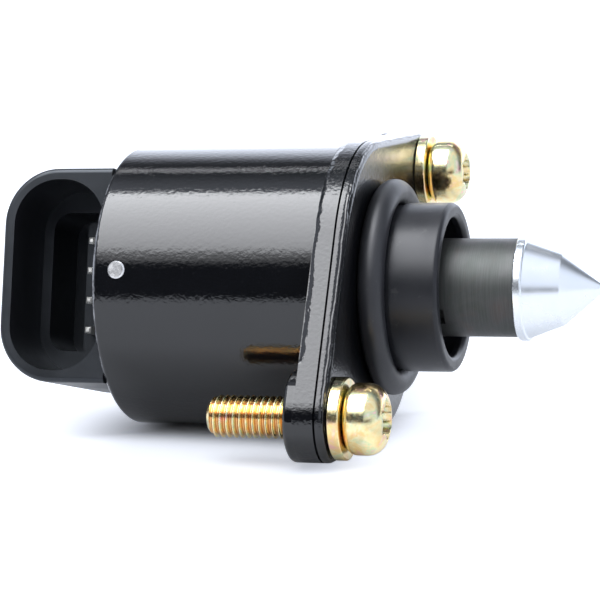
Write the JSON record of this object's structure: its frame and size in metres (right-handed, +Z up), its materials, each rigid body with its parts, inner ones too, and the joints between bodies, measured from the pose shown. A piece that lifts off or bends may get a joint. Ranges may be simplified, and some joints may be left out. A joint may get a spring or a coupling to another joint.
{
  "type": "idle air control valve",
  "caption": "Stepper idle air valve: black can with a side connector, two-ear flange with screws, seal ring, nose sleeve and a sliding cone-tipped pintle that meters air.",
  "frame": {"origin": "on the valve axis, in the flange's front face, where the valve seats against the throttle body", "axes": "+X along the valve axis towards the pintle's tip; +Z up as the valve lies on its can and its near ear; the near ear and the connector's mouth are on the -Y side"},
  "size_m": [0.0738, 0.0546, 0.0362],
  "materials": {
    "black_paint": "gloss black paint with slight orange peel",
    "bright_steel": "bright steel",
    "sleeve_plastic": "satin black moulding",
    "seal_rubber": "satin dark grey rubber",
    "connector_plastic": "satin black moulding",
    "yellow_zinc": "yellow zinc plating with a faint rainbow",
    "stator_steel": "zinc plated sheet steel",
    "bobbin_plastic": "natural moulding",
    "copper_wire": "enamelled copper",
    "bronze": "sintered bronze",
    "magnet": "sintered ferrite",
    "dark_steel": "dark oxidised steel",
    "tip_metal": "bright turned metal",
    "tinned_terminal": "tin plate"
  },
  "bodies": {
    "housing": {"motor_can": "black_paint", "retaining_pins": "bright_steel", "mounting_flange": "black_paint", "front_plate": "black_paint", "nose_sleeve": "sleeve_plastic", "seal_ring": "seal_rubber", "connector_housing": "connector_plastic", "terminal_pin_1": "tinned_terminal", "terminal_pin_2": "tinned_terminal", "terminal_pin_3": "tinned_terminal", "terminal_pin_4": "tinned_terminal", "flange_screw_near": "yellow_zinc", "flange_screw_far": "yellow_zinc", "screw_washer_near": "yellow_zinc", "screw_washer_far": "yellow_zinc", "front_stator_cup": "stator_steel", "rear_stator_cup": "stator_steel", "front_pole_plate": "stator_steel", "rear_pole_plate": "stator_steel", "front_bobbin": "bobbin_plastic", "rear_bobbin": "bobbin_plastic", "front_winding": "copper_wire", "rear_winding": "copper_wire", "bearing_plate": "stator_steel", "front_bush": "bronze", "rear_bush": "bronze", "front_thrust_washer": "bright_steel", "rear_thrust_washer": "bright_steel", "return_spring": "bright_steel"},
    "rotor": {"rotor_hub": "bobbin_plastic", "rotor_nut": "bronze", "rotor_magnet": "magnet"},
    "pintle": {"pintle_shaft": "dark_steel", "pintle_tip": "tip_metal", "lead_screw": "bright_steel"}
  },
  "joints": [
    {"name": "rotor_spin", "type": "hinge", "parent": "housing", "child": "rotor", "pos_m": [-0.01912, 0, 0], "axis": [1, 0, 0], "range_deg": [-2520, 0]},
    {"name": "pintle_slide", "type": "slide", "parent": "housing", "child": "pintle", "axis": [1, 0, 0], "range_m": [-0.007, 0], "deforming": ["return_spring"]}
  ],
  "couplings": [
    {"joint": "rotor_spin", "follows": "pintle_slide", "rad_per_m": 6283.2}
  ]
}
